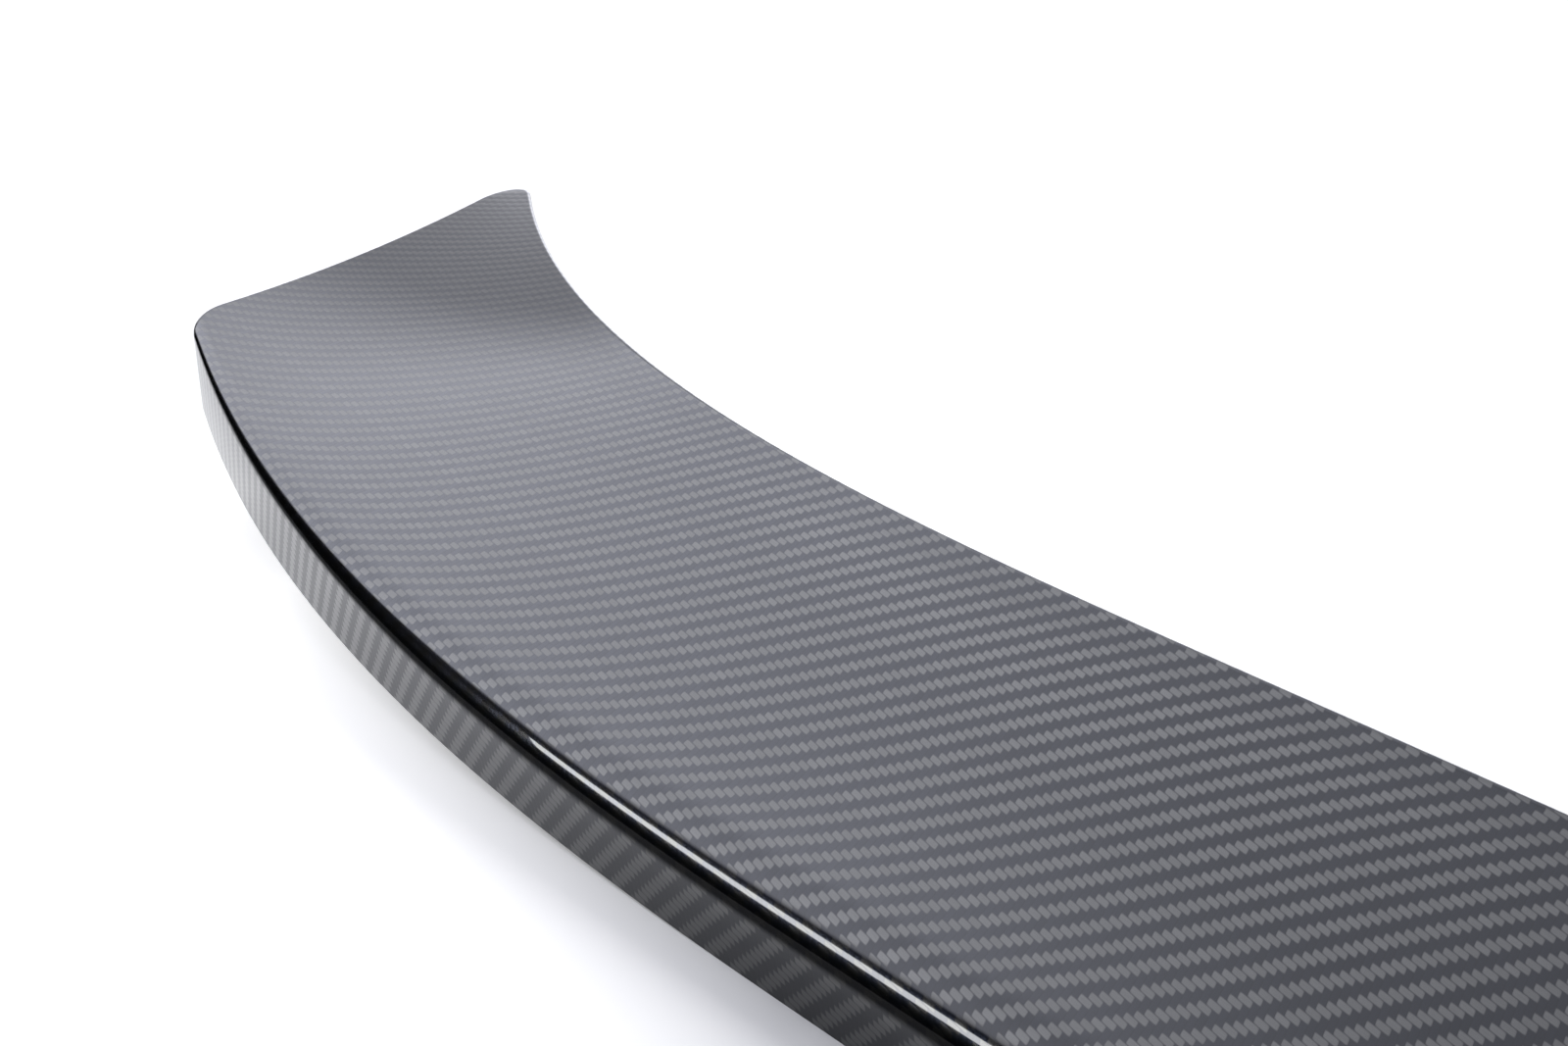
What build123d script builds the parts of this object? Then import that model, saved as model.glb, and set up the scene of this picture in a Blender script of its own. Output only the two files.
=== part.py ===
from build123d import *
from math import atan2, cos, hypot, radians, sin
import os

# Rear spoiler: one hollow carbon moulding with a concave ramp, a short near face and an open underside.
# X runs across the car, Y from the near face to the far edge, Z up from the base.

# Main sizes, in millimetres
half_span = 598.0
edge_height = 88.2
ramp_run = 101.5

# The near edge runs straight, then sweeps back and climbs towards each end
near_straight = 208.0
near_sweep = 55.2
base_rise = 39.6

# The far edge runs straight, then sweeps back further and climbs a little
far_straight = 138.0
far_sweep = 116.0
far_rise = 4.0

# Slope of the ramp where it leaves the shoulder, at the centre and at the ends, in degrees
centre_slope = 17.0
end_slope = 1.5

# Rounded shoulder over the near face: its height and radius at the centre and at the ends
centre_shoulder_height = 33.4
end_shoulder_height = 31.0
centre_shoulder = 24.0
end_shoulder = 3.0

# Slope of the shoulder where it meets the near face in a crease, in degrees
crease_slope = 72.0

# Roundings of the rim all round the top, and of the corners in plan
rim_radius = 1.5
near_corner = 22.0
far_corner = 13.0
inner_corner = 2.0

# Laminate, and the bonding flange that turns inwards along the base
wall = 2.4
flange_width = 14.0
flange_thickness = 2.4

# How far the construction blocks reach past the part, and how finely its curves are drawn
overlap = 30.0
ramp_sections = 13
bend_points = 7


def bend_share(x, straight):
    """How far along a bent end a place lies: 0 on the straight part, 1 at the end of the span."""
    return max(0.0, (abs(x) - straight) / (half_span - straight))


def near_y(x):
    return near_sweep * bend_share(x, near_straight) ** 3


def base_z(x):
    return base_rise * bend_share(x, near_straight) ** 2


def far_y(x):
    return ramp_run + far_sweep * bend_share(x, far_straight) ** 3


def far_z(x):
    return edge_height + far_rise * bend_share(x, far_straight) ** 3


def blend(x, centre, end):
    """A size that changes little by little from the centre to the ends of the span."""
    return centre + (end - centre) * (x / half_span) ** 2


def bent_edge(side, straight, start_y, sweep, inset):
    """One bent end of an edge in plan, moved sideways by an inset that is measured square to the edge."""
    end = half_span - abs(inset)
    points = []
    for i in range(bend_points):
        x = straight + (end - straight) * i / (bend_points - 1)
        share = bend_share(x, straight)
        rate = 3 * sweep * share ** 2 / (half_span - straight)
        points.append((side * x, start_y + sweep * share ** 3 + inset * hypot(1, rate)))
    return Spline(points, tangents=[(side, 0), (side, rate)])


def plan_outline(inset):
    """Outline of the spoiler seen from above, set in by a distance, with sharp corners."""
    near_right = bent_edge(1, near_straight, 0, near_sweep, inset)
    near_left = bent_edge(-1, near_straight, 0, near_sweep, inset)
    far_right = bent_edge(1, far_straight, ramp_run, far_sweep, -inset)
    far_left = bent_edge(-1, far_straight, ramp_run, far_sweep, -inset)
    return Face(Wire([
        near_right,
        Line(near_right @ 1, far_right @ 1),
        far_right,
        Line(far_right @ 0, far_left @ 0),
        far_left,
        Line(far_left @ 1, near_left @ 1),
        near_left,
        Line(near_left @ 0, near_right @ 0),
    ]))


def plan_block(inset):
    """Upright block over the plan outline, set in by a distance, with its four corners rounded."""
    height = edge_height + far_rise + 2 * overlap
    block = Pos(0, 0, -overlap) * extrude(plan_outline(inset), height, dir=(0, 0, 1))
    end_x = half_span - inset
    corners = [e for e in block.edges().filter_by(Axis.Z) if abs(abs(e.center().X) - end_x) < rim_radius]
    corners.sort(key=lambda e: e.center().Y)
    block = fillet(corners[:2], max(near_corner - inset, inner_corner))
    corners = [e for e in block.edges().filter_by(Axis.Z) if abs(abs(e.center().X) - end_x) < rim_radius]
    corners.sort(key=lambda e: e.center().Y)
    return fillet(corners[-2:], max(far_corner - inset, inner_corner))


def ramp_section(x):
    """Section of all that lies under the shoulder and the ramp."""
    far = Vector(x, far_y(x), far_z(x))
    start = radians(blend(x, centre_slope, end_slope))
    steep = radians(crease_slope)
    shoulder_radius = blend(x, centre_shoulder, end_shoulder)
    shoulder_top = base_z(x) + blend(x, centre_shoulder_height, end_shoulder_height)
    shoulder_centre = Vector(
        x,
        near_y(x) + shoulder_radius * sin(steep),
        shoulder_top - shoulder_radius * cos(start),
    )

    def shoulder(slope):
        return shoulder_centre + Vector(0, -sin(slope), cos(slope)) * shoulder_radius

    top = shoulder(start)
    chord = far - top
    turn = 2 * (atan2(chord.Z, chord.Y) - start)
    ramp_radius = chord.length / 2 / sin(turn / 2)
    ramp_centre = top + Vector(0, -sin(start), cos(start)) * ramp_radius

    def ramp(slope):
        return ramp_centre + Vector(0, sin(slope), -cos(slope)) * ramp_radius

    outside = (steep + radians(90)) / 2
    finish = start + turn + overlap / ramp_radius
    outer_near = shoulder(outside)
    outer_far = ramp(finish)
    floor_near = Vector(x, outer_near.Y, -2 * overlap)
    floor_far = Vector(x, outer_far.Y, -2 * overlap)
    return Face(Wire([
        Line(floor_near, outer_near),
        ThreePointArc(outer_near, shoulder((outside + start) / 2), top),
        ThreePointArc(top, ramp((start + finish) / 2), outer_far),
        Line(outer_far, floor_far),
        Line(floor_far, floor_near),
    ]))


def ramp_block():
    """Everything under the shoulder and the ramp, from end to end."""
    reach = half_span + overlap
    step = 2 * reach / (ramp_sections - 1)
    return loft([ramp_section(-reach + step * i) for i in range(ramp_sections)])


def base_block(lift):
    """Everything below the base: flat under the straight part, rising in a curve under each end."""
    reach = half_span + overlap
    half = (near_straight + reach) / 2
    depth = 3 * overlap
    profile = Face(Wire([
        Bezier((-reach, 0, base_z(reach) + lift), (-half, 0, lift), (-near_straight, 0, lift)),
        Line((-near_straight, 0, lift), (near_straight, 0, lift)),
        Bezier((near_straight, 0, lift), (half, 0, lift), (reach, 0, base_z(reach) + lift)),
        Line((reach, 0, base_z(reach) + lift), (reach, 0, -depth)),
        Line((reach, 0, -depth), (-reach, 0, -depth)),
        Line((-reach, 0, -depth), (-reach, 0, base_z(reach) + lift)),
    ]))
    return extrude(profile, ramp_run + far_sweep + overlap, dir=(0, 1, 0), both=True)


def rim_edges(body):
    """The edges all round the top, where the shoulder and the ramp meet the upright walls."""
    facing_up = [f for f in body.faces() if f.normal_at().Z > cos(radians(crease_slope))]
    edges = [e for f in facing_up for e in f.edges()]
    return [e for e in edges if sum(e.is_same(other) for other in edges) == 1]


def spoiler_shell():
    """The whole moulding: outer form, less the hollow and the opening inside the flange."""
    ramp = ramp_block()
    outer = plan_block(0) & ramp
    outer = outer - base_block(0)
    outer = fillet(rim_edges(outer), rim_radius)
    slope = radians(centre_slope)
    skin_shift = wall / (cos(slope) + sin(slope))
    underside = Pos(0, skin_shift, -skin_shift) * ramp
    hollow = plan_block(wall) & underside
    hollow = hollow - base_block(flange_thickness)
    opening = plan_block(wall + flange_width) & underside
    return outer - hollow - opening


shell = spoiler_shell().solid()
box = shell.bounding_box()
shell = Pos(0, -box.center().Y, -box.min.Z) * shell

os.makedirs("parts", exist_ok=True)
export_step(shell, "parts/spoiler_shell.step")
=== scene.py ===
from math import asin, atan2, copysign, cos, hypot, pi, radians, sin, sqrt, tan
from types import SimpleNamespace

import bmesh
import bpy
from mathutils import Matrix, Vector


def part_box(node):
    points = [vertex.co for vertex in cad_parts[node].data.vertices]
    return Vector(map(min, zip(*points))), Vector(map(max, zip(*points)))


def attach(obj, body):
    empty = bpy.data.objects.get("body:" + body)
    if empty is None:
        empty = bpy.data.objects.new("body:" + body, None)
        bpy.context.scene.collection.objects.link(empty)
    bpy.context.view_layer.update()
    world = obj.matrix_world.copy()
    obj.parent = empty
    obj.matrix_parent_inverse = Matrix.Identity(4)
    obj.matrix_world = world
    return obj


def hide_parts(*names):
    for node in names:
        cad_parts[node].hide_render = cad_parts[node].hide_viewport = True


bl_info = {
    "name": "Carbon Rear Spoiler",
    "version": (1, 0, 0),
    "blender": (4, 5, 0),
    "location": "3D View > Sidebar > Spoiler",
    "description": "Builds a rear spoiler in lacquered twill carbon, and a white studio to see it in",
    "category": "Add Mesh",
}

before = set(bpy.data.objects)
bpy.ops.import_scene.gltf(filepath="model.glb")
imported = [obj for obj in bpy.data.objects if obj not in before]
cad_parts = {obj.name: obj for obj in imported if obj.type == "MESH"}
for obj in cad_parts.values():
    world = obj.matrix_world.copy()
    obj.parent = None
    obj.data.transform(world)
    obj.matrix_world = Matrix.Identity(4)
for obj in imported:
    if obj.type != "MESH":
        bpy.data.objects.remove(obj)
NODE = "spoiler_shell"
LOW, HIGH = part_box(NODE)

# How finely the moulding is drawn: columns along the span and in each corner, rows over the ramp and the rim
EDGE_STEPS = 184
CORNER_STEPS = 12
ROW_STEPS = 46
RIM_STEPS = 12
COLUMNS = EDGE_STEPS + 2 * CORNER_STEPS
# Rows lie closer together towards the near edge, where the shoulder rolls over
ROW_CROWDING = 1.8
ROWS = [(row / ROW_STEPS) ** ROW_CROWDING for row in range(ROW_STEPS + 1)]
# Rounds of the searches for where a corner ends and where a rounding of the rim starts
CORNER_ROUNDS = 8
HALVINGS = 24
# Slopes are taken over the rim's radius divided by this
PROBE_PARTS = 10
# Edges that turn by more than this stay sharp, and points closer than this are joined
SHARP_ANGLE = radians(40)
SAME_PLACE = 1e-7

# Material slots of the moulding
LACQUERED = 0
BARE = 1

# Profile of a tow: how far it falls at its edges and dips at the ends of a float, and how suddenly
EDGE_FALL, EDGE_POWER = 0.65, 3.0
END_DIP, END_POWER = 0.6, 5.0
# Where the gap between tows starts and is full, from the middle of a tow to its edge
GAP_ENDS = (0.72, 1.0)
# Tows in one repeat of the twill, where each passes over two and under two
REPEAT = 4.0
# Fine streaks to a tow, across it and along it
STREAKS_ACROSS, STREAKS_ALONG = 9.0, 0.5

BLACK = (0, 0, 0, 1)
WHITE = (1, 1, 1, 1)


def size(name, description, default):
    """A length that the user can change."""
    return bpy.props.FloatProperty(
        name=name, description=description, default=default, min=0.0, precision=4,
        unit="LENGTH", subtype="DISTANCE",
    )


def turn(name, description, degrees):
    """An angle that the user can change."""
    return bpy.props.FloatProperty(
        name=name, description=description, default=radians(degrees), unit="ROTATION", subtype="ANGLE",
    )


def share(name, description, default):
    """A value between nothing and all that the user can change."""
    return bpy.props.FloatProperty(
        name=name, description=description, default=default, min=0.0, max=1.0, subtype="FACTOR",
    )


def colour(name, description, default, most=1.0):
    """A colour that the user can change."""
    return bpy.props.FloatVectorProperty(
        name=name, description=description, default=default, size=3, min=0.0, max=most, subtype="COLOR",
    )


def level(name, description, default):
    """A brightness, where 1 is white, that the user can change."""
    return bpy.props.FloatProperty(name=name, description=description, default=default, min=0.0, soft_max=4.0)


def power(name, description, default):
    """A lamp's power that the user can change."""
    return bpy.props.FloatProperty(
        name=name, description=description, default=default, min=0.0, unit="POWER", subtype="POWER",
    )


def number(name, description, default):
    """A plain number that the user can change."""
    return bpy.props.FloatProperty(name=name, description=description, default=default)


def ends(name, description, default):
    """Two values between which something changes, that the user can change."""
    return bpy.props.FloatVectorProperty(name=name, description=description, default=default, size=2)


def position(name, description, default):
    """A place along one axis that the user can change."""
    return bpy.props.FloatProperty(
        name=name, description=description, default=default, unit="LENGTH", subtype="DISTANCE",
    )


def spot(name, description, default):
    """A place in the frame that the user can change."""
    return bpy.props.FloatVectorProperty(
        name=name, description=description, default=default, size=3, unit="LENGTH", subtype="TRANSLATION",
    )


def aim(name, description, default):
    """A direction in the frame that the user can change."""
    return bpy.props.FloatVectorProperty(
        name=name, description=description, default=default, size=3, subtype="XYZ",
    )


def millimetres(name, description, default):
    """A length inside the camera that the user can change."""
    return bpy.props.FloatProperty(
        name=name, description=description, default=default, min=1.0, unit="CAMERA",
    )


class SpoilerSizes(bpy.types.PropertyGroup):
    """Sizes of the moulding."""

    half_span: size("Half span", "From the middle to one end", HIGH.x)
    front: position("Front", "Where the near face stands in the frame", LOW.y)
    edge_height: size("Edge height", "From the base to the far edge", 0.0882)
    ramp_run: size("Ramp run", "From the near face to the far edge, at the middle", 0.1015)
    near_straight: size("Near straight", "Half the straight part of the near edge", 0.208)
    near_sweep: size("Near sweep", "How far the near edge sweeps back at the ends", 0.0552)
    base_rise: size("Base rise", "How far the base climbs at the ends", 0.0396)
    far_straight: size("Far straight", "Half the straight part of the far edge", 0.138)
    far_sweep: size("Far sweep", "How far the far edge sweeps back at the ends", 0.116)
    far_rise: size("Far rise", "How far the far edge climbs at the ends", 0.004)
    centre_slope: turn("Centre slope", "Slope of the ramp where it starts, at the middle", 17)
    end_slope: turn("End slope", "Slope of the ramp where it starts, at the ends", 1.5)
    centre_height: size(
        "Centre shoulder height", "From the base to where the ramp starts, at the middle", 0.0334,
    )
    end_height: size("End shoulder height", "From the base to where the ramp starts, at the ends", 0.031)
    centre_shoulder: size("Centre shoulder", "Radius of the shoulder at the middle", 0.024)
    end_shoulder: size("End shoulder", "Radius of the shoulder at the ends", 0.003)
    crease_slope: turn("Crease slope", "Slope of the shoulder where it leaves the near face", 72)
    crease_radius: size("Crease radius", "Rounding at the middle of the crease over the near face", 0.02)
    rim_radius: size("Rim radius", "Rounding all round the rest of the top", 0.0015)
    near_corner: size("Near corner", "Rounding of the near corners in plan", 0.022)
    far_corner: size("Far corner", "Rounding of the far corners in plan", 0.013)
    inner_corner: size("Inner corner", "Smallest rounding of the corners inside", 0.002)
    wall: size("Wall", "Thickness of the laminate", 0.0024)
    flange_width: size("Flange width", "How far the bonding flange turns inwards", 0.014)
    flange_thickness: size("Flange thickness", "Thickness of the bonding flange", 0.0024)


class ClothLay(bpy.types.PropertyGroup):
    """How the cloth lies on the moulding."""

    left_lean: turn("Left lean", "How far the cross tows lean over at the left end", -5)
    middle_lean: turn("Middle lean", "How far the cross tows lean over from the middle on", 17)
    lean_reach: size("Lean reach", "From the middle to where they lean as at the left end", 0.45)
    lean_line: size("Lean line", "How far over the top, at the middle, the lean moves nothing", 0.065)
    bow: number("Bow", "How strongly the cross tows bow over the top", 29)
    bow_line: size("Bow line", "How far over the top the bow moves nothing", 0.05)
    left_climb: number("Left climb", "How much the along tows climb at the left end", 0.02)
    added_climb: number("Added climb", "How much more they climb from the middle on", 0.16)
    climb_reach: size("Climb reach", "From the middle to where they start to climb more", 0.44)
    climb_run: size("Climb run", "Length over which they come to climb more", 0.22)
    near_density: number("Near density", "How closely the along tows lie at the near edge", 0.905)
    closing: number("Closing", "How much closer they lie with each metre over the top", 1.0)
    wall_shear: turn("Wall shear", "How far the cloth is sheared where it runs down the walls", -16)


class CarbonFinish(bpy.types.PropertyGroup):
    """Weave and colours of the carbon."""

    tow_width: size("Tow width", "Width of one tow of the cloth", 0.002)
    # Painted sheen and shade: the along tows get a lighter colour and the cross tows a darker one, standing
    # in for how the same fibres catch the light in the two directions
    lit_along_colour: colour(
        "Along tows", "Tows that run along the span, which catch the light", (0.097, 0.098, 0.099),
    )
    # Painted highlight: the along tows show their lit colour only on the raised body of each float
    crown_highlight_ends: ends("Body", "Heights on a tow where its bright body starts and is full", (0.1, 0.8))
    # Painted shade on the shoulder: the along tows are darkened where it rolls over, and come back on the
    # walls
    shoulder_shade_share: share("Shoulder share", "How bright the along tows stay on the shoulder", 0.35)
    shoulder_shade_ends: ends("Shoulder", "How far up a face looks where that starts and is full", (0.73, 0.63))
    wall_ends: ends("Walls", "How far up it looks where they come back and are full", (0.3, 0.08))
    # Painted shade: the cross tows' darker colour stands in for the light they don't send back
    shaded_cross_colour: colour("Cross tows", "Tows that run across it, which look darker", (0.011, 0.013, 0.019))
    # Painted sheen of the cross tows, seen at a slant on faces that look up
    slant_sheen_colour: colour(
        "Slanted cross tows", "Tows that run across it, seen at a slant", (0.064, 0.067, 0.080),
    )
    sheen_slant_ends: ends("Slant", "How slanted the view is where that starts and is full", (0.15, 0.5))
    sheen_upward_ends: ends("Upward", "How far up a face looks where that starts and is full", (0.2, 0.6))
    gap_depth: share("Gap depth", "How much darker the gaps between tows are", 0.25)
    tone_spread: share("Tone spread", "How far tows differ in tone", 0.07)
    fibre_spread: share("Fibre spread", "How far fibres differ in tone and roughness", 0.15)
    fibre_roughness: share("Fibre roughness", "Roughness of the tows under the lacquer", 0.19)
    relief: share("Relief", "How far the tows stand up, as a share of their width", 0.02)
    relief_strength: share("Relief strength", "How strongly that shows under the lacquer", 0.35)
    lacquer_roughness: share("Lacquer roughness", "Roughness of the clear lacquer", 0.02)
    lacquer_index: number("Lacquer index", "Refractive index of the clear lacquer", 1.6)
    grazing_loss: share("Grazing loss", "Gloss that the lacquer loses over slanted cross tows", 0.3)
    grazing_ends: ends("Grazing", "How slanted the view is where that starts and is full", (0.48, 0.68))
    inside_colour: colour("Inside", "Bare laminate on the underside", (0.032, 0.033, 0.036))
    # Painted shade: the bare laminate's cross tows are a darker copy of its along tows
    inside_cross_shade: share("Inside cross tows", "How bright the cross tows are there, beside the others", 0.7)
    inside_gap_depth: share("Inside gap depth", "How much darker the gaps between tows are there", 0.5)
    inside_roughness: share("Inside roughness", "Roughness of the bare laminate", 0.5)
    inside_spread: share("Inside spread", "How far fibres differ in roughness there", 0.2)
    inside_relief: share("Inside relief", "How far the tows stand up there, as a share of their width", 0.1)


class StudioStage(bpy.types.PropertyGroup):
    """Camera, floor and lamps."""

    camera_place: spot("Camera", "Where the camera stands", (0.1248, -0.4114, 0.3572))
    heading: turn("Heading", "Direction the camera looks in, from +X towards +Y", 137.07)
    pitch: turn("Pitch", "How far the camera looks down", 25.77)
    lens: millimetres("Lens", "Focal length", 50.0)
    sensor: millimetres("Sensor", "Width of the camera's sensor", 36.0)
    floor_half: size("Floor half", "Half the width of the floor", 6.0)
    floor_front: position("Floor front", "Where the floor ends in front of the near face", -0.28)
    floor_colour: colour("Floor", "Colour of the floor", (0.72, 0.72, 0.72))
    floor_roughness: share("Floor roughness", "Roughness of the floor", 0.7)
    floor_gloss: share("Floor gloss", "How much the floor mirrors", 0.1)
    # Painted light: the floor glows whiter towards the left end
    painted_floor_glow: share("Floor glow", "How much whiter the floor grows towards the left end", 0.72)
    glow_ends: ends("Glow", "Where along X that starts and is full", (-0.2, -0.5))
    glow_fade: ends("Glow fade", "Where along X it has faded out again and is still full", (-0.7, -0.5))
    mirrored_glow: share("Mirrored glow", "How much of it mirrored light sees", 0.6)
    # Painted shade that only reflections show: the floor turns dark in front and at both sides in mirrored
    # light
    dark_front: share("Dark front", "How dark the floor is in front, in mirrored light", 0.95)
    dark_front_ends: ends("Dark front ends", "Where along Y that starts and is full", (-0.115, -0.165))
    dark_left: share("Dark left", "How dark it is past the left end, in mirrored light", 0.25)
    dark_left_ends: ends("Dark left ends", "Where along X that starts and is full", (-0.48, -0.62))
    dark_right: share("Dark right", "How dark it is towards the right, in mirrored light", 0.35)
    dark_right_ends: ends("Dark right ends", "Where along X that starts and is full", (-0.42, -0.2))
    room_colour: colour("Room", "Colour of the studio's light", (0.97, 0.98, 1.06), 2.0)
    ceiling: level("Ceiling", "Brightness of the studio overhead", 0.87)
    left_side: level("Left side", "Brightness of the studio on the left", 1.84)
    left_ends: ends("Left ends", "Directions along X where that starts and is full", (-0.3, -0.7))
    near_gain: level("Near gain", "How much brighter the studio is on the near side", 1.16)
    near_ends: ends("Near ends", "Directions along Y where that starts and is full", (-0.2, -0.55))
    low_share: share("Low share", "How much of that brightness is left near the floor", 0.34)
    low_ends: ends("Low ends", "Heights where it starts to grow and is full", (0.36, 0.52))
    low_tilt: number("Low tilt", "How those heights change from front to back", -0.4)
    wall_share: share("Wall share", "How much of it is left on the dark wall in front", 0.004)
    wall_ends: ends("Wall ends", "Heights where that wall starts to end and has ended", (0.22, 0.32))
    wall_tilt: number("Wall tilt", "How those heights change from front to back", 0.3)
    back_ends: ends("Back ends", "Directions along Y where the bright back starts and is full", (0.1, 0.3))
    skyline: level("Skyline", "Brightness of the studio low down behind the far edge", 1.3)
    skyline_ends: ends("Skyline ends", "Heights where that starts and is full", (0.14, 0.0))
    strip_power: power("Strip light", "Power of the lamp in front of the near edge", 3.7)
    strip_target: spot("Strip target", "What that lamp looks at", (-0.454, -0.0935, 0.028))
    strip_way: aim("Strip direction", "Direction from there to the lamp", (0.0, -0.943, 0.333))
    strip_distance: size("Strip distance", "How far the lamp stands from there", 0.8)
    strip_length: size("Strip length", "Length of the lamp", 1.208)
    strip_height: size("Strip height", "Height of the lamp", 0.125)
    floor_light: level(
        "Floor light", "Strength of the soft light from behind that draws the floor's shadow", 4.5,
    )
    floor_light_way: aim("Floor light direction", "Direction from the floor to it", (-0.47, 0.71, 0.53))
    floor_light_angle: turn("Floor light angle", "How wide it is", 50)


class BentEdge:
    """One long edge of the outline in plan: straight in the middle, swept back towards both ends."""

    def __init__(self, half_span, straight, start, sweep, inward, corner):
        self.half_span = half_span
        self.straight = straight
        self.start = start
        self.sweep = sweep
        self.inward = inward
        self.corner = corner

    def bend(self, x):
        """How far along a bent end a place lies: 0 on the straight part, 1 at the end of the span."""
        return max(0.0, (abs(x) - self.straight) / (self.half_span - self.straight))

    def y(self, x):
        return self.start + self.sweep * self.bend(x) ** 3

    def normal(self, x):
        """Direction into the part, square to the edge."""
        rate = 3 * self.sweep * self.bend(x) ** 2 / (self.half_span - self.straight)
        return Vector((-copysign(rate, x), 1)) * (self.inward / hypot(1, rate))

    def place(self, x, inset):
        return Vector((x, self.y(x))) + self.normal(x) * inset

    def stations(self, inset, inner_corner):
        """Points from end to end along the edge and round its corners, moved inwards by an inset."""
        radius = max(self.corner - inset, inner_corner)
        reach = inset + radius
        x = self.half_span - reach
        for _ in range(CORNER_ROUNDS):
            x = self.half_span - reach - reach * self.normal(x).x
        along = [self.place(x * (2 * i / EDGE_STEPS - 1), inset) for i in range(EDGE_STEPS + 1)]
        centre = self.place(x, reach)
        start = atan2(self.normal(x).y, self.normal(x).x)
        step = (self.inward * pi - start) / CORNER_STEPS
        angles = [start + step * (i + 1) for i in range(CORNER_STEPS)]
        right = [centre - Vector((cos(a), sin(a))) * radius for a in angles]
        left = [Vector((-p.x, p.y)) for p in reversed(right)]
        return left + along + right


class SpoilerForm:
    """Outline, heights and developed cloth of the moulding, worked out from its sizes."""

    def __init__(self, sizes, lay):
        self.sizes = sizes
        self.lay = lay
        self.near = BentEdge(
            sizes.half_span, sizes.near_straight, sizes.front, sizes.near_sweep, 1, sizes.near_corner,
        )
        self.far = BentEdge(
            sizes.half_span, sizes.far_straight, sizes.front + sizes.ramp_run, sizes.far_sweep, -1,
            sizes.far_corner,
        )

    def outline(self, inset):
        """Closed loop of points in plan: near edge, right end, far edge and left end."""
        near = self.near.stations(inset, self.sizes.inner_corner)
        far = self.far.stations(inset, self.sizes.inner_corner)
        right = [near[-1].lerp(far[-1], v) for v in ROWS[1:-1]]
        left = [near[0].lerp(far[0], v) for v in reversed(ROWS[1:-1])]
        return near + right + far[::-1] + left

    def base(self, x):
        return self.sizes.base_rise * self.near.bend(x) ** 2

    def blend(self, x, centre, end):
        """A size that changes little by little from the middle to the ends."""
        return centre + (end - centre) * (x / self.sizes.half_span) ** 2

    def section(self, x):
        """The shoulder's and the ramp's arcs in the upright section at x."""
        s = self.sizes
        slope = self.blend(x, s.centre_slope, s.end_slope)
        radius = self.blend(x, s.centre_shoulder, s.end_shoulder)
        round_y = self.near.y(x) + radius * sin(s.crease_slope)
        start_y = round_y - radius * sin(slope)
        start_z = self.base(x) + self.blend(x, s.centre_height, s.end_height)
        run = self.far.y(x) - start_y
        rise = s.edge_height + s.far_rise * self.far.bend(x) ** 3 - start_z
        half_turn = atan2(rise, run) - slope
        ramp_radius = hypot(run, rise) / 2 / sin(half_turn)
        return SimpleNamespace(
            slope=slope, radius=radius, round_y=round_y, round_z=start_z - radius * cos(slope),
            start_y=start_y, ramp_radius=ramp_radius, ramp_y=start_y - ramp_radius * sin(slope),
            ramp_z=start_z + ramp_radius * cos(slope),
        )

    def top(self, x, y):
        """Height of the shoulder or the ramp over a place in plan."""
        a = self.section(x)
        if y < a.start_y:
            return a.round_z + sqrt(max(0.0, a.radius ** 2 - (y - a.round_y) ** 2))
        return a.ramp_z - sqrt(a.ramp_radius ** 2 - (y - a.ramp_y) ** 2)

    def cloth(self, x, y):
        """Where a place on the top lies on the flat cloth, which is unrolled from the near edge."""
        a = self.section(x)
        steep = self.sizes.crease_slope
        if y < a.start_y:
            length = a.radius * (steep - asin(min(1.0, (a.round_y - y) / a.radius)))
        else:
            bow = asin((y - a.ramp_y) / a.ramp_radius) - a.slope
            length = a.radius * (steep - a.slope) + a.ramp_radius * bow
        return self.woven(x, self.near.y(x) - self.sizes.front, length)

    def woven(self, x, swept, length):
        """Where a place on the unrolled cloth lies in the weave, whose tows fan out from the left end."""
        lay = self.lay
        fan = min(1.0, max(0.0, 1 + x / lay.lean_reach))
        lean = tan(lay.left_lean) + (tan(lay.middle_lean) - tan(lay.left_lean)) * fan
        bowed = lay.bow * (length - lay.bow_line) ** 3
        along = x + lean * (swept + length - lay.lean_line) - bowed
        turned = min(lay.climb_run, max(0.0, x + lay.climb_reach))
        steady = max(0.0, x + lay.climb_reach - lay.climb_run)
        climb = lay.left_climb * x + lay.added_climb * (turned ** 2 / (2 * lay.climb_run) + steady)
        return Vector((along, climb + swept + length * (lay.near_density + lay.closing * length), 0))


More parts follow.
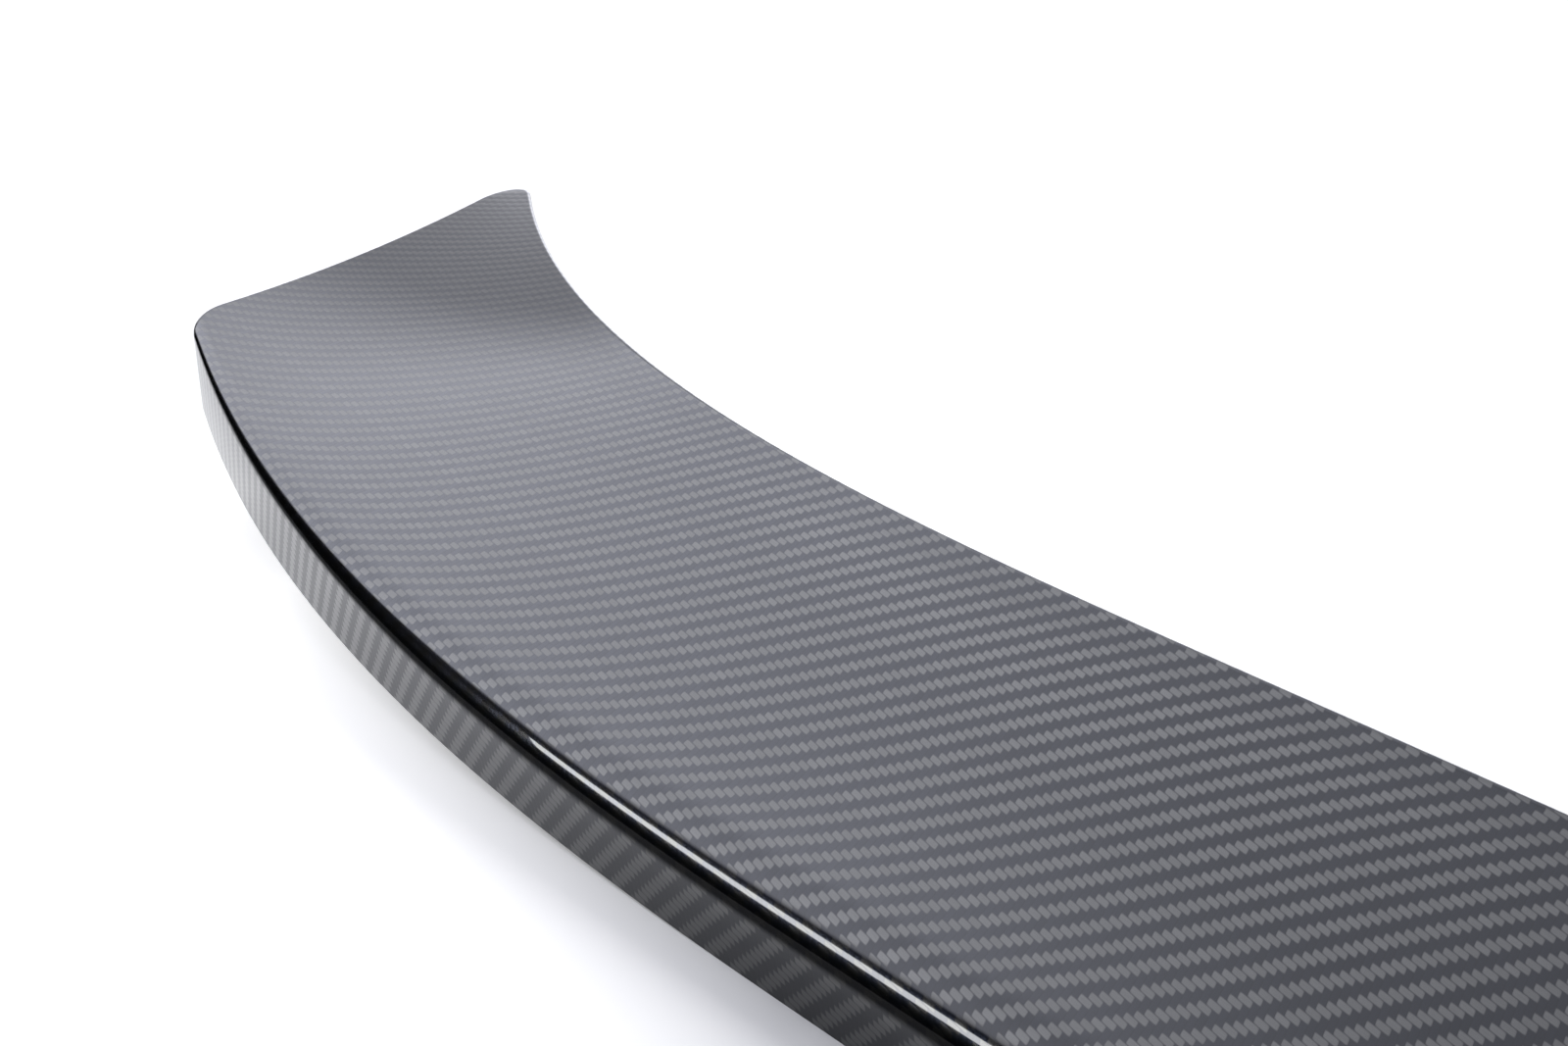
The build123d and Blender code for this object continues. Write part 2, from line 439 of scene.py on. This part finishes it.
class Moulding:
    """The mesh of the spoiler, built as a laid-up skin: top, rim, walls, bonding flange and inner side."""

    def __init__(self, sizes, lay):
        self.form = SpoilerForm(sizes, lay)
        self.sizes = sizes
        self.bm = bmesh.new()
        self.station = self.bm.verts.layers.int.new("station")
        self.cloth = self.bm.verts.layers.float_vector.new("cloth")
        self.outline = self.form.outline(0)
        inner = self.form.outline(sizes.wall)
        self.inwards = [(q - p) / sizes.wall for p, q in zip(self.outline, inner)]

    def meeting_sine(self, point, inward, radius):
        """Sine of the top's slope into the part where a rounding of the rim runs into it."""
        probe = inward * self.sizes.rim_radius / PROBE_PARTS
        low, high = 0.0, 2 * radius
        for _ in range(HALVINGS):
            inset = (low + high) / 2
            place = point + inward * inset
            rise = self.form.top(*(place + probe)) - self.form.top(*(place - probe))
            sine = rise / hypot(rise, 2 * probe.length)
            if radius * (1 - sine) > inset:
                low = inset
            else:
                high = inset
        return sine

    def rim(self):
        """For each point of the outline, its rounding's radius and the sine of the slope it starts at."""
        s = self.sizes
        roundings = []
        for station, (point, inward) in enumerate(zip(self.outline, self.inwards)):
            radius = s.rim_radius
            if station <= COLUMNS:
                radius = self.form.blend(point.x, s.crease_radius, s.rim_radius)
            roundings.append(Vector((radius, self.meeting_sine(point, inward, radius))))
        near_end, far_end = COLUMNS, COLUMNS + ROW_STEPS
        for row, v in enumerate(ROWS):
            rounding = roundings[near_end].lerp(roundings[far_end], v)
            roundings[near_end + row] = rounding
            roundings[-row] = rounding
        return roundings

    def sheet(self, loop, shift, material):
        """Fills a loop with a sheet over the ramp and the shoulder, moved back and down by a shift."""
        grid = bmesh.ops.create_grid(self.bm, x_segments=COLUMNS, y_segments=ROW_STEPS, size=1)["verts"]
        for vert in grid:
            column = round((vert.co.x + 1) / 2 * COLUMNS)
            row = round((vert.co.y + 1) / 2 * ROW_STEPS)
            far_station = 2 * COLUMNS + ROW_STEPS - column
            x, y = loop[column].lerp(loop[far_station], ROWS[row])
            vert.co = (x, y, self.form.top(x, y - shift) - shift)
            vert[self.cloth] = self.form.cloth(x, y)
            if row == 0:
                vert[self.station] = column
            elif row == ROW_STEPS:
                vert[self.station] = far_station
            elif column == COLUMNS:
                vert[self.station] = COLUMNS + row
            elif column == 0:
                vert[self.station] = 2 * COLUMNS + 2 * ROW_STEPS - row
        for face in {face for vert in grid for face in vert.link_faces}:
            face.material_index = material
        edges = {edge for vert in grid for edge in vert.link_edges}
        return [edge for edge in edges if edge.is_boundary]

    def ring(self, edges, places, cloth, material):
        """Draws the open edge of the skin out to a new loop of places."""
        made = bmesh.ops.extrude_edge_only(self.bm, edges=edges)["geom"]
        verts = {item for item in made if isinstance(item, bmesh.types.BMVert)}
        for vert in verts:
            vert.co = places[vert[self.station]]
            vert[self.cloth] = cloth[vert[self.station]]
        for item in made:
            if isinstance(item, bmesh.types.BMFace):
                item.material_index = material
        return [e for e in made if isinstance(e, bmesh.types.BMEdge) and verts.issuperset(e.verts)]

    def unrolled(self, loops, start):
        """Places on the flat cloth of loops that follow one another outwards from a known one."""
        shear = tan(self.form.lay.wall_shear)
        found = [start]
        for before, after in zip(loops, loops[1:]):
            flat = [
                cloth.to_2d() + (Vector((inward.y, -inward.x)) * shear - inward) * (q - p).length
                for cloth, inward, p, q in zip(found[-1], self.inwards, before, after)
            ]
            found.append([place.to_3d() for place in flat])
        return found

    def lifted(self, loop, height):
        """A loop in plan, set on the base and raised by a height."""
        return [Vector((p.x, p.y, self.form.base(p.x) + height)) for p in loop]

    def build(self):
        """Lays the whole skin, from the middle of the top round to the middle of the inner side."""
        s = self.sizes
        roundings = self.rim()
        tangents = [
            p + inward * radius * (1 - sine)
            for p, inward, (radius, sine) in zip(self.outline, self.inwards, roundings)
        ]
        edges = self.sheet(tangents, 0, LACQUERED)
        tops = [Vector((p.x, p.y, self.form.top(p.x, p.y))) for p in tangents]
        outside = [tops]
        for step in range(1, RIM_STEPS + 1):
            loop = []
            for p, inward, (radius, sine), top in zip(self.outline, self.inwards, roundings, tops):
                slope = asin(sine)
                angle = slope + (pi / 2 - slope) * step / RIM_STEPS
                place = p + inward * radius * (1 - sin(angle))
                height = top.z + radius * (cos(angle) - cos(slope))
                loop.append(Vector((place.x, place.y, height)))
            outside.append(loop)
        foot = self.lifted(self.outline, 0)
        outside.append([p.lerp(q, 0.5) for p, q in zip(outside[-1], foot)])
        outside.append(foot)
        start = [self.form.cloth(p.x, p.y) for p in tangents]
        flat = self.unrolled(outside, start)
        for loop, cloth in zip(outside[1:], flat[1:]):
            edges = self.ring(edges, loop, cloth, LACQUERED)

        inner = self.form.outline(s.wall)
        lip = self.form.outline(s.wall + s.flange_width)
        shift = s.wall / (cos(s.centre_slope) + sin(s.centre_slope))
        ceiling = [Vector((p.x, p.y, self.form.top(p.x, p.y - shift) - shift)) for p in inner]
        inside = [
            ceiling,
            self.lifted(inner, s.flange_thickness),
            self.lifted(lip, s.flange_thickness),
            self.lifted(lip, 0),
        ]
        flat = self.unrolled(inside, [self.form.cloth(p.x, p.y) for p in inner])
        for loop, cloth in zip(reversed(inside), reversed(flat)):
            edges = self.ring(edges, loop, cloth, BARE)
        self.sheet(inner, shift, BARE)
        bmesh.ops.remove_doubles(self.bm, verts=self.bm.verts, dist=SAME_PLACE)
        bmesh.ops.recalc_face_normals(self.bm, faces=self.bm.faces)
        if not all(edge.is_manifold for edge in self.bm.edges):
            raise RuntimeError("The moulding is not closed, because its sizes don't fit together")

    def mesh(self, name):
        """The finished mesh, smooth over its curves and sharp at its corners."""
        for face in self.bm.faces:
            face.smooth = True
        for edge in self.bm.edges:
            edge.smooth = edge.calc_face_angle(0) < SHARP_ANGLE
        self.bm.verts.layers.int.remove(self.station)
        made = bpy.data.meshes.new(name)
        self.bm.to_mesh(made)
        self.bm.free()
        return made


def node(tree, kind, place, **settings):
    """A new node at a place in the node editor, with its settings."""
    made = tree.nodes.new(kind)
    made.location = place
    for name, value in settings.items():
        setattr(made, name, value)
    return made


def feed(tree, value, socket):
    """Links an output to a socket, or sets the socket to a plain value."""
    if isinstance(value, bpy.types.NodeSocket):
        tree.links.new(value, socket)
    else:
        socket.default_value = value


def calc(tree, place, operation, first, second=0.0):
    """A Math node's result."""
    made = node(tree, "ShaderNodeMath", place, operation=operation)
    feed(tree, first, made.inputs[0])
    feed(tree, second, made.inputs[1])
    return made.outputs[0]


def between(tree, place, pick, low, high):
    """A value that is low where pick is 0 and high where it is 1."""
    made = node(tree, "ShaderNodeMix", place, data_type="FLOAT")
    feed(tree, pick, made.inputs["Factor"])
    feed(tree, low, made.inputs["A"])
    feed(tree, high, made.inputs["B"])
    return made.outputs["Result"]


def spread(tree, place, pick, middle, part):
    """A value that lies around a middle one, by up to a part of it either way."""
    return between(tree, place, pick, middle * (1 - part), middle * (1 + part))


def ramp(tree, place, value, span, result=(0.0, 1.0), kind="SMOOTHSTEP"):
    """A Map Range node's result."""
    made = node(tree, "ShaderNodeMapRange", place, interpolation_type=kind)
    feed(tree, value, made.inputs["Value"])
    made.inputs["From Min"].default_value, made.inputs["From Max"].default_value = span
    made.inputs["To Min"].default_value, made.inputs["To Max"].default_value = result
    return made.outputs["Result"]


def twill_weave():
    """Node group of a two-by-two twill, on the flat cloth that the moulding was laid up from."""
    found = bpy.data.node_groups.get("Twill weave")
    if found:
        return found
    tree = bpy.data.node_groups.new("Twill weave", "ShaderNodeTree")
    sockets = tree.interface
    sockets.new_socket("Cloth", in_out="INPUT", socket_type="NodeSocketVector")
    sockets.new_socket("Tow Width", in_out="INPUT", socket_type="NodeSocketFloat")
    for name in ("Along", "Height", "Gap", "Fibre", "Tone"):
        sockets.new_socket(name, in_out="OUTPUT", socket_type="NodeSocketFloat")
    entry = node(tree, "NodeGroupInput", (-1600, 0))
    leave = node(tree, "NodeGroupOutput", (1200, 0))

    per_tow = calc(tree, (-1400, -200), "DIVIDE", 1.0, entry.outputs["Tow Width"])
    tows = node(tree, "ShaderNodeVectorMath", (-1200, 0), operation="SCALE")
    tree.links.new(entry.outputs["Cloth"], tows.inputs["Vector"])
    tree.links.new(per_tow, tows.inputs["Scale"])
    split = node(tree, "ShaderNodeSeparateXYZ", (-1000, 0))
    tree.links.new(tows.outputs["Vector"], split.inputs["Vector"])
    s, t = split.outputs["X"], split.outputs["Y"]

    # Which tow lies on top: the floats lie one step further on in each next row
    cell_s = calc(tree, (-800, 200), "FLOOR", s)
    cell_t = calc(tree, (-800, 0), "FLOOR", t)
    part_s = calc(tree, (-800, -200), "FRACT", s)
    part_t = calc(tree, (-800, -400), "FRACT", t)
    offset = calc(tree, (-600, 200), "SUBTRACT", cell_s, cell_t)
    step = calc(tree, (-400, 200), "FLOORED_MODULO", offset, REPEAT)
    along = calc(tree, (-200, 200), "LESS_THAN", step, REPEAT / 2 - 0.5)

    # How far a place lies from the middle of its tow, and from the middle of its float, both from 0 to 1
    across = between(tree, (0, -200), along, part_s, part_t)
    run_s = calc(tree, (-400, 0), "ADD", step, part_s)
    back = calc(tree, (-400, -200), "SUBTRACT", REPEAT - 1, step)
    run_t = calc(tree, (-200, -200), "ADD", back, part_t)
    run = between(tree, (0, 0), along, run_t, run_s)
    twice = calc(tree, (100, -200), "MULTIPLY", across, 2.0)
    edge = calc(tree, (300, -200), "ABSOLUTE", calc(tree, (200, -200), "SUBTRACT", twice, 1.0))
    end = calc(tree, (200, 0), "ABSOLUTE", calc(tree, (100, 0), "SUBTRACT", run, 1.0))

    # Height of the tow, which falls at its edges and dips at both ends of its float
    fall = calc(tree, (500, -200), "MULTIPLY", calc(tree, (400, -200), "POWER", edge, EDGE_POWER), EDGE_FALL)
    dip = calc(tree, (500, 100), "MULTIPLY", calc(tree, (400, 100), "POWER", end, END_POWER), END_DIP)
    crown = calc(tree, (600, -200), "SUBTRACT", 1.0, fall)
    height = calc(tree, (700, 0), "MULTIPLY", crown, calc(tree, (600, 100), "SUBTRACT", 1.0, dip))
    gap = ramp(tree, (600, -400), edge, GAP_ENDS)

    # Fine streaks that run along each tow, and a tone of its own for every tow
    scale_s = between(tree, (0, -500), along, STREAKS_ACROSS, STREAKS_ALONG)
    scale_t = between(tree, (0, -700), along, STREAKS_ALONG, STREAKS_ACROSS)
    streak_s = calc(tree, (200, -500), "MULTIPLY", s, scale_s)
    streak_t = calc(tree, (200, -700), "MULTIPLY", t, scale_t)
    streak = node(tree, "ShaderNodeCombineXYZ", (400, -600))
    tree.links.new(streak_s, streak.inputs["X"])
    tree.links.new(streak_t, streak.inputs["Y"])
    tree.links.new(along, streak.inputs["Z"])
    fibre = node(tree, "ShaderNodeTexNoise", (600, -600))
    fibre.inputs["Scale"].default_value = 1.0
    fibre.inputs["Detail"].default_value = 2.0
    tree.links.new(streak.outputs["Vector"], fibre.inputs["Vector"])
    tow = between(tree, (400, -900), along, cell_s, cell_t)
    which = node(tree, "ShaderNodeCombineXYZ", (600, -900))
    tree.links.new(tow, which.inputs["X"])
    tree.links.new(along, which.inputs["Y"])
    tone = node(tree, "ShaderNodeTexWhiteNoise", (800, -900), noise_dimensions="2D")
    tree.links.new(which.outputs["Vector"], tone.inputs["Vector"])

    tree.links.new(along, leave.inputs["Along"])
    tree.links.new(height, leave.inputs["Height"])
    tree.links.new(gap, leave.inputs["Gap"])
    tree.links.new(fibre.outputs["Fac"], leave.inputs["Fibre"])
    tree.links.new(tone.outputs["Value"], leave.inputs["Tone"])
    return tree


def weave_material(name, finish):
    """A material with the weave laid over the piece: its tree, the weave and the shader."""
    made = bpy.data.materials.new(name)
    made.use_nodes = True
    tree = made.node_tree
    shader = tree.nodes["Principled BSDF"]
    cloth = node(tree, "ShaderNodeAttribute", (-1400, 0), attribute_name="cloth")
    weave = node(tree, "ShaderNodeGroup", (-1200, 0), node_tree=twill_weave())
    tree.links.new(cloth.outputs["Vector"], weave.inputs["Cloth"])
    weave.inputs["Tow Width"].default_value = finish.tow_width
    return made, tree, weave.outputs, shader


def mixed(tree, place, pick, low, high):
    """A colour that is low where pick is 0 and high where it is 1."""
    made = node(tree, "ShaderNodeMix", place, data_type="RGBA")
    feed(tree, pick, made.inputs[0])
    feed(tree, low, made.inputs[6])
    feed(tree, high, made.inputs[7])
    return made.outputs[2]


def tinted(tree, weave, finish, shaded_cross_colour, lit_along_colour, depth):
    """Colour of the tows, with painted sheen on the along tows and painted shade on the cross tows, darker in
    the gaps between them and streaked by their fibres.
    """
    # Painted highlight: the along tows take their lit colour only on the crown of each float
    body = ramp(tree, (-1000, 500), weave["Height"], finish.crown_highlight_ends)
    bright = calc(tree, (-900, 400), "MULTIPLY", weave["Along"], body)
    tows = mixed(tree, (-800, 300), bright, shaded_cross_colour, lit_along_colour)
    streaks = spread(tree, (-800, 0), weave["Fibre"], 1.0, finish.fibre_spread)
    tones = spread(tree, (-800, -200), weave["Tone"], 1.0, finish.tone_spread)
    gaps = between(tree, (-800, -400), weave["Gap"], 1.0, 1.0 - depth)
    shade = calc(tree, (-600, 0), "MULTIPLY", calc(tree, (-700, 0), "MULTIPLY", streaks, tones), gaps)
    scaled = node(tree, "ShaderNodeVectorMath", (-400, 200), operation="SCALE")
    tree.links.new(tows, scaled.inputs["Vector"])
    tree.links.new(shade, scaled.inputs["Scale"])
    return scaled.outputs["Vector"]


def raised(tree, height, distance, shader, strength=1.0):
    """Lets the tows stand up a little under the light."""
    bump = node(tree, "ShaderNodeBump", (-300, -400))
    bump.inputs["Distance"].default_value = distance
    bump.inputs["Strength"].default_value = strength
    tree.links.new(height, bump.inputs["Height"])
    tree.links.new(bump.outputs["Normal"], shader.inputs["Normal"])


def lacquered_carbon(finish):
    """Twill carbon under a clear gloss lacquer."""
    made, tree, weave, shader = weave_material("Lacquered carbon", finish)
    slant = node(tree, "ShaderNodeLayerWeight", (-1400, 700)).outputs["Facing"]
    geometry = node(tree, "ShaderNodeNewGeometry", (-1600, 900))
    split = node(tree, "ShaderNodeSeparateXYZ", (-1400, 900))
    tree.links.new(geometry.outputs["Normal"], split.inputs["Vector"])
    up = split.outputs["Z"]

    # Painted sheen: cross tows turn paler at a slant on faces that look up, standing in for the light their
    # fibres reflect there
    slanted = ramp(tree, (-1200, 700), slant, finish.sheen_slant_ends, kind="LINEAR")
    slanted = calc(tree, (-1100, 800), "MULTIPLY", slanted, ramp(tree, (-1200, 900), up, finish.sheen_upward_ends))
    cross = mixed(tree, (-1000, 700), slanted, (*finish.shaded_cross_colour, 1), (*finish.slant_sheen_colour, 1))

    # Painted shade: the along tows are darkened where the shoulder rolls over, and keep their full colour on
    # the top and the walls
    shoulder_shade_ramp = ramp(tree, (-1200, 1100), up, finish.shoulder_shade_ends, (1.0, finish.shoulder_shade_share))
    upright = ramp(tree, (-1200, 1300), up, finish.wall_ends)
    shoulder_shade = calc(tree, (-1000, 1200), "MAXIMUM", shoulder_shade_ramp, upright)
    along = mixed(tree, (-900, 1000), shoulder_shade, BLACK, (*finish.lit_along_colour, 1))

    tint = tinted(tree, weave, finish, cross, along, finish.gap_depth)
    tree.links.new(tint, shader.inputs["Base Color"])
    rough = spread(tree, (-300, 0), weave["Fibre"], finish.fibre_roughness, finish.fibre_spread)
    tree.links.new(rough, shader.inputs["Roughness"])
    shader.inputs["Metallic"].default_value = 1.0
    raised(tree, weave["Height"], finish.tow_width * finish.relief, shader, finish.relief_strength)

    # The lacquer, which loses some gloss over slanted cross tows
    grazing = ramp(tree, (-1200, 500), slant, finish.grazing_ends, (0.0, finish.grazing_loss))
    crossing = calc(tree, (-700, -600), "SUBTRACT", 1.0, weave["Along"])
    dull = calc(tree, (-600, -600), "MULTIPLY", grazing, crossing)
    tree.links.new(calc(tree, (-400, -600), "SUBTRACT", 1.0, dull), shader.inputs["Coat Weight"])
    shader.inputs["Coat Roughness"].default_value = finish.lacquer_roughness
    shader.inputs["Coat IOR"].default_value = finish.lacquer_index
    return made


def bare_laminate(finish):
    """Unlacquered carbon and resin, as it comes out of the bag on the inner side."""
    made, tree, weave, shader = weave_material("Bare laminate", finish)
    # Painted shade: the cross tows are a darker copy of the laminate's colour
    cross = (*(part * finish.inside_cross_shade for part in finish.inside_colour), 1)
    tint = tinted(tree, weave, finish, cross, (*finish.inside_colour, 1), finish.inside_gap_depth)
    tree.links.new(tint, shader.inputs["Base Color"])
    rough = spread(tree, (-300, 0), weave["Fibre"], finish.inside_roughness, finish.inside_spread)
    tree.links.new(rough, shader.inputs["Roughness"])
    raised(tree, weave["Height"], finish.tow_width * finish.inside_relief, shader)
    return made


class SPOILER_OT_moulding(bpy.types.Operator):
    """Build the carbon moulding over its CAD solid"""

    bl_idname = "spoiler.moulding"
    bl_label = "Carbon moulding"

    def execute(self, context):
        scene = context.scene
        moulding = Moulding(scene.spoiler_sizes, scene.spoiler_lay)
        moulding.build()
        mesh = moulding.mesh("carbon_moulding")
        mesh.materials.append(lacquered_carbon(scene.spoiler_finish))
        mesh.materials.append(bare_laminate(scene.spoiler_finish))
        piece = bpy.data.objects.new("carbon_moulding", mesh)
        scene.collection.objects.link(piece)
        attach(piece, "root")
        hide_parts(NODE)
        return {"FINISHED"}


def floor_material(stage):
    """A white floor that keeps its shadows, with painted light that makes it whiter towards the left end, and
    painted shade that shows only in reflections.
    """
    made = bpy.data.materials.new("Studio floor")
    made.use_nodes = True
    tree = made.node_tree
    shader = tree.nodes["Principled BSDF"]
    shader.inputs["Roughness"].default_value = stage.floor_roughness
    shader.inputs["Specular IOR Level"].default_value = stage.floor_gloss
    shader.inputs["Emission Color"].default_value = WHITE
    place = node(tree, "ShaderNodeTexCoord", (-1000, -300))
    split = node(tree, "ShaderNodeSeparateXYZ", (-800, -300))
    tree.links.new(place.outputs["Object"], split.inputs["Vector"])
    x, y = split.outputs["X"], split.outputs["Y"]
    path = node(tree, "ShaderNodeLightPath", (-1000, 0)).outputs

    # Painted shade in reflections: the floor turns darker in front and towards both sides, in mirrored light
    # only
    front = ramp(tree, (-600, 600), y, stage.dark_front_ends, (0.0, stage.dark_front))
    left = ramp(tree, (-600, 400), x, stage.dark_left_ends, (0.0, stage.dark_left))
    right = ramp(tree, (-600, 800), x, stage.dark_right_ends, (0.0, stage.dark_right))
    sides = calc(tree, (-500, 600), "MAXIMUM", left, right)
    dark = calc(tree, (-400, 600), "MAXIMUM", front, sides)
    mirrored_shade = calc(tree, (-300, 500), "MULTIPLY", path["Is Glossy Ray"], dark)
    tint = mixed(tree, (-200, 500), mirrored_shade, (*stage.floor_colour, 1), BLACK)
    tree.links.new(tint, shader.inputs["Base Color"])

    # Painted light: a glow that makes the floor whiter towards the left end, which the camera sees in full
    # and mirrored light in part
    grow = ramp(tree, (-600, -300), x, stage.glow_ends, (0.0, stage.painted_floor_glow), "LINEAR")
    fade = ramp(tree, (-600, -600), x, stage.glow_fade, kind="LINEAR")
    glow = calc(tree, (-400, -300), "MULTIPLY", grow, fade)
    bright = calc(tree, (-500, 1000), "SUBTRACT", 1.0, front)
    bright = calc(tree, (-400, 1000), "MULTIPLY", bright, stage.mirrored_glow)
    mirrored = calc(tree, (-800, -100), "MULTIPLY", path["Is Glossy Ray"], bright)
    seen = calc(tree, (-700, 0), "MAXIMUM", path["Is Camera Ray"], mirrored)
    seen = calc(tree, (-600, 0), "MAXIMUM", seen, path["Is Transmission Ray"])
    tree.links.new(calc(tree, (-300, 0), "MULTIPLY", seen, glow), shader.inputs["Emission Strength"])
    return made


def studio_floor(stage):
    """A wide floor that ends in front of the near face."""
    bm = bmesh.new()
    grid = bmesh.ops.create_grid(bm, x_segments=1, y_segments=1, size=stage.floor_half)["verts"]
    for vert in grid:
        vert.co.y = max(vert.co.y, stage.floor_front)
    mesh = bpy.data.meshes.new("studio_floor")
    bm.to_mesh(mesh)
    bm.free()
    mesh.materials.append(floor_material(stage))
    return bpy.data.objects.new("studio_floor", mesh)


def tilted(tree, place, y, z, tilt):
    """Height of a direction, over a level that tilts from front to back."""
    return calc(tree, place, "ADD", z, calc(tree, (place[0] - 100, place[1]), "MULTIPLY", y, tilt))


def studio_world(stage):
    """White to the camera; to the object, a bright ceiling over dark walls."""
    world = bpy.data.worlds.new("Studio")
    world.use_nodes = True
    tree = world.node_tree
    tree.nodes.clear()
    toward = node(tree, "ShaderNodeTexCoord", (-1400, 0))
    split = node(tree, "ShaderNodeSeparateXYZ", (-1200, 0))
    tree.links.new(toward.outputs["Generated"], split.inputs["Vector"])
    x, y, z = split.outputs

    # The ceiling, brighter on the left and the near side, and darker low down
    side = ramp(tree, (-900, 200), x, stage.left_ends, (stage.ceiling, stage.left_side), "LINEAR")
    near = ramp(tree, (-900, 500), y, stage.near_ends, (1.0, stage.near_gain), "LINEAR")
    side = calc(tree, (-750, 300), "MULTIPLY", side, near)
    rise = tilted(tree, (-1000, -100), y, z, stage.low_tilt)
    low = ramp(tree, (-900, -100), rise, stage.low_ends, (stage.low_share, 1.0))
    glow = calc(tree, (-650, 0), "MULTIPLY", side, low)

    # The dark wall in front, and a bright skyline behind
    lean = tilted(tree, (-1000, -400), y, z, stage.wall_tilt)
    front = ramp(tree, (-900, -400), lean, stage.wall_ends, (stage.wall_share, 1.0))
    back = ramp(tree, (-900, -700), y, stage.back_ends)
    lit = calc(tree, (-700, -400), "MAXIMUM", front, back)
    glow = calc(tree, (-500, 0), "MULTIPLY", glow, lit)
    skyline = ramp(tree, (-900, -1000), rise, stage.skyline_ends, (0.0, stage.skyline))
    skyline = calc(tree, (-700, -900), "MULTIPLY", skyline, back)
    glow = calc(tree, (-400, -100), "ADD", glow, skyline)

    room = node(tree, "ShaderNodeBackground", (-300, 0))
    room.inputs["Color"].default_value = (*stage.room_colour, 1)
    tree.links.new(glow, room.inputs["Strength"])
    white = node(tree, "ShaderNodeBackground", (-300, -200))
    white.inputs["Color"].default_value = WHITE
    path = node(tree, "ShaderNodeLightPath", (-300, 300)).outputs
    clear = calc(tree, (-150, 300), "MAXIMUM", path["Is Camera Ray"], path["Is Transmission Ray"])
    mix = node(tree, "ShaderNodeMixShader", (0, 0))
    tree.links.new(clear, mix.inputs[0])
    tree.links.new(room.outputs[0], mix.inputs[1])
    tree.links.new(white.outputs[0], mix.inputs[2])
    leave = node(tree, "ShaderNodeOutputWorld", (200, 0))
    tree.links.new(mix.outputs[0], leave.inputs["Surface"])
    return world


def strip_light(stage):
    """A long soft lamp in front of the near edge, which only the lacquer shows."""
    data = bpy.data.lights.new("Strip light", "AREA")
    data.shape = "RECTANGLE"
    data.size = stage.strip_length
    data.size_y = stage.strip_height
    data.energy = stage.strip_power
    lamp = bpy.data.objects.new("Strip light", data)
    away = Vector(stage.strip_way).normalized()
    lamp.location = Vector(stage.strip_target) + away * stage.strip_distance
    lamp.rotation_euler = away.to_track_quat("Z", "Y").to_euler()
    lamp.visible_diffuse = False
    return lamp


def floor_light(stage):
    """A soft light from behind, which draws the object's shadow on the floor."""
    data = bpy.data.lights.new("Floor light", "SUN")
    data.energy = stage.floor_light
    data.angle = stage.floor_light_angle
    lamp = bpy.data.objects.new("Floor light", data)
    lamp.rotation_euler = Vector(stage.floor_light_way).to_track_quat("Z", "Y").to_euler()
    lamp.visible_glossy = False
    return lamp


def studio_camera(stage):
    """The camera, which looks over the near face towards the left end."""
    flat = cos(stage.pitch)
    look = Vector((cos(stage.heading) * flat, sin(stage.heading) * flat, -sin(stage.pitch)))
    data = bpy.data.cameras.new("Camera")
    data.sensor_fit = "HORIZONTAL"
    data.sensor_width = stage.sensor
    data.lens = stage.lens
    camera = bpy.data.objects.new("Camera", data)
    camera.location = stage.camera_place
    camera.rotation_euler = look.to_track_quat("-Z", "Y").to_euler()
    return camera


class SPOILER_OT_stage(bpy.types.Operator):
    """Build the white studio, its lamps and the camera"""

    bl_idname = "spoiler.stage"
    bl_label = "Studio stage"

    def execute(self, context):
        scene = context.scene
        stage = scene.spoiler_stage
        floor = studio_floor(stage)
        camera = studio_camera(stage)
        for made in (floor, strip_light(stage), floor_light(stage), camera):
            scene.collection.objects.link(made)
        scene.world = studio_world(stage)
        scene.camera = camera
        scene.view_settings.view_transform = "Standard"
        return {"FINISHED"}


class SPOILER_PT_panel(bpy.types.Panel):
    """Lists the pieces and their settings"""

    bl_idname = "SPOILER_PT_panel"
    bl_label = "Carbon Rear Spoiler"
    bl_space_type = "VIEW_3D"
    bl_region_type = "UI"
    bl_category = "Spoiler"

    def draw(self, context):
        for operator, group in (
            (SPOILER_OT_moulding, context.scene.spoiler_sizes),
            (SPOILER_OT_moulding, context.scene.spoiler_lay),
            (SPOILER_OT_moulding, context.scene.spoiler_finish),
            (SPOILER_OT_stage, context.scene.spoiler_stage),
        ):
            box = self.layout.box()
            box.operator(operator.bl_idname)
            for name in group.__annotations__:
                box.prop(group, name)


CLASSES = (
    SpoilerSizes, ClothLay, CarbonFinish, StudioStage,
    SPOILER_OT_moulding, SPOILER_OT_stage, SPOILER_PT_panel,
)


def register():
    for cls in CLASSES:
        bpy.utils.register_class(cls)
    bpy.types.Scene.spoiler_sizes = bpy.props.PointerProperty(type=SpoilerSizes)
    bpy.types.Scene.spoiler_lay = bpy.props.PointerProperty(type=ClothLay)
    bpy.types.Scene.spoiler_finish = bpy.props.PointerProperty(type=CarbonFinish)
    bpy.types.Scene.spoiler_stage = bpy.props.PointerProperty(type=StudioStage)


def unregister():
    del bpy.types.Scene.spoiler_stage
    del bpy.types.Scene.spoiler_finish
    del bpy.types.Scene.spoiler_lay
    del bpy.types.Scene.spoiler_sizes
    for cls in reversed(CLASSES):
        bpy.utils.unregister_class(cls)


def main():
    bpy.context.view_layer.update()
    register()
    bpy.ops.spoiler.moulding()
    bpy.ops.spoiler.stage()


if __name__ == "__main__":
    main()
